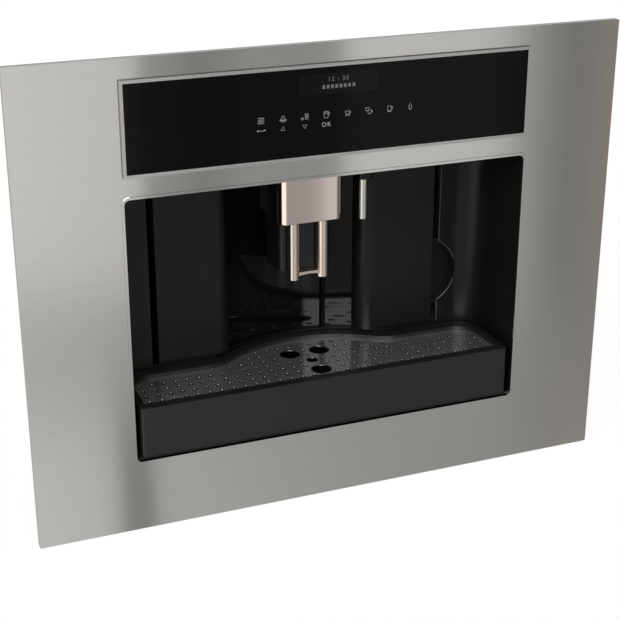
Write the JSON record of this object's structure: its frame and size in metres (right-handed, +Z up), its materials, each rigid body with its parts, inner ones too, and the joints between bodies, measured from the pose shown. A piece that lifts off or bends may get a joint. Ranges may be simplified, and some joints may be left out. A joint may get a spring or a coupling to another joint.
{
  "type": "built-in coffee machine",
  "caption": "Built-in bean-to-cup coffee machine on pull-out rails, with steel fascia, touch strip, cup niche, height-set spout, tank and drip tray.",
  "frame": {"origin": "under the middle of the outer box, on the shelf that the mounting base stands on", "axes": "+X to the right seen from the front, +Y to the back of the cabinet, +Z up"},
  "size_m": [0.595, 0.3854, 0.456],
  "materials": {
    "brushed_steel": "brushed, horizontal grain",
    "zinc_steel": "zinc plated, satin",
    "dark_glass": "smoked, glossy",
    "charcoal_plastic": "satin moulded",
    "gloss_black": "mirror gloss",
    "satin_metal": "satin, warm",
    "chrome": "polished",
    "clear_plastic": "clear, slightly smoked",
    "circuit_board": "solder-masked board",
    "red_plastic": "gloss",
    "cast_aluminium": "cast",
    "rubber": "matt"
  },
  "bodies": {
    "cabinet_base": {"mounting_base": "zinc_steel", "fixed_rail_left": "zinc_steel", "fixed_rail_right": "zinc_steel"},
    "machine": {"inner_rail_left": "zinc_steel", "inner_rail_right": "zinc_steel", "chassis_floor": "zinc_steel", "side_panel_left": "zinc_steel", "side_panel_right": "zinc_steel", "back_panel": "zinc_steel", "top_panel": "zinc_steel", "bulkhead": "zinc_steel", "fascia": "brushed_steel", "control_frame": "brushed_steel", "control_glass": "dark_glass", "touch_board": "circuit_board", "display_module": "gloss_black", "control_housing": "charcoal_plastic", "niche_shell": "charcoal_plastic", "recess_side": "gloss_black", "nozzle_block": "charcoal_plastic", "hot_water_nozzle": "chrome", "tank_seat": "charcoal_plastic", "service_bay": "charcoal_plastic", "brew_frame": "charcoal_plastic", "brew_piston": "cast_aluminium", "grounds_container": "charcoal_plastic", "grinder_housing": "cast_aluminium", "upper_burr": "zinc_steel", "grinder_motor": "zinc_steel", "bean_hopper": "clear_plastic", "coffee_chute": "charcoal_plastic", "boiler": "cast_aluminium", "water_pump": "zinc_steel", "pump_mount": "rubber", "flow_meter": "charcoal_plastic", "suction_hose": "rubber", "pressure_hose": "rubber", "power_board": "circuit_board", "power_inlet": "charcoal_plastic"},
    "rail_left": {"middle_rail_left": "zinc_steel"},
    "rail_right": {"middle_rail_right": "zinc_steel"},
    "service_door": {"door_shell": "charcoal_plastic", "mirror_panel": "gloss_black", "door_hinge_pin": "zinc_steel", "spout_sleeve": "satin_metal", "spout_bracket": "charcoal_plastic"},
    "spout": {"spout_core": "gloss_black", "spout_tubes": "satin_metal"},
    "tray": {"drip_tray": "charcoal_plastic"},
    "tray_grille": {"grille": "brushed_steel"},
    "float": {"tray_float": "red_plastic"},
    "tank": {"water_tank": "clear_plastic", "tank_front": "charcoal_plastic"},
    "lid_of_tank": {"tank_lid": "charcoal_plastic"},
    "lid_of_hopper": {"bean_lid": "charcoal_plastic"},
    "flap": {"chute_flap": "charcoal_plastic"},
    "knob": {"grind_knob": "charcoal_plastic"},
    "burr": {"lower_burr": "zinc_steel"},
    "brew_cup": {"brew_chamber": "charcoal_plastic"},
    "rocker": {"main_rocker": "red_plastic"}
  },
  "joints": [
    {"name": "machine_pull_out", "type": "slide", "parent": "cabinet_base", "child": "machine", "axis": [0, -1, 0], "range_m": [0, 0.32]},
    {"name": "rail_left_slide", "type": "slide", "parent": "cabinet_base", "child": "rail_left", "axis": [0, -1, 0], "range_m": [0, 0.16]},
    {"name": "rail_right_slide", "type": "slide", "parent": "cabinet_base", "child": "rail_right", "axis": [0, -1, 0], "range_m": [0, 0.16]},
    {"name": "service_door_hinge", "type": "hinge", "parent": "machine", "child": "service_door", "pos_m": [-0.1455, -0.0941, 0.228], "axis": [0, 0, -1], "range_deg": [0, 90]},
    {"name": "spout_height", "type": "slide", "parent": "service_door", "child": "spout", "axis": [0, 0, 1], "range_m": [0, 0.042]},
    {"name": "tray_slide", "type": "slide", "parent": "machine", "child": "tray", "axis": [0, -1, 0], "range_m": [0, 0.12]},
    {"name": "grille_lift", "type": "slide", "parent": "tray", "child": "tray_grille", "axis": [0, 0, 1], "range_m": [0, 0.005]},
    {"name": "float_rise", "type": "slide", "parent": "tray", "child": "float", "axis": [0, 0, 1], "range_m": [0, 0.012]},
    {"name": "tank_slide", "type": "slide", "parent": "machine", "child": "tank", "axis": [0, -1, 0], "range_m": [0, 0.21]},
    {"name": "tank_lid_lift", "type": "slide", "parent": "tank", "child": "lid_of_tank", "axis": [0, 0, 1], "range_m": [0, 0.02]},
    {"name": "bean_lid_hinge", "type": "hinge", "parent": "machine", "child": "lid_of_hopper", "pos_m": [-0.09, 0.1493, 0.3773], "axis": [-1, 0, 0], "range_deg": [0, 95]},
    {"name": "chute_flap_hinge", "type": "hinge", "parent": "machine", "child": "flap", "pos_m": [0.022, 0.1038, 0.3773], "axis": [-1, 0, 0], "range_deg": [0, 95]},
    {"name": "grind_knob_turn", "type": "hinge", "parent": "machine", "child": "knob", "pos_m": [-0.012, 0.1283, 0.378], "axis": [0, 0, 1], "range_deg": [-120, 120]},
    {"name": "burr_spin", "type": "hinge", "parent": "machine", "child": "burr", "pos_m": [-0.09, 0.1023, 0.26], "axis": [0, 0, 1], "continuous": true},
    {"name": "brew_cup_lift", "type": "slide", "parent": "machine", "child": "brew_cup", "axis": [0, 0, 1], "range_m": [0, 0.03]},
    {"name": "rocker_tilt", "type": "hinge", "parent": "machine", "child": "rocker", "pos_m": [0.15, 0.1868, 0.124], "axis": [1, 0, 0], "range_deg": [-8, 8]}
  ],
  "couplings": [
    {"joint": "rail_left_slide", "follows": "machine_pull_out", "ratio": 0.5},
    {"joint": "rail_right_slide", "follows": "machine_pull_out", "ratio": 0.5}
  ]
}
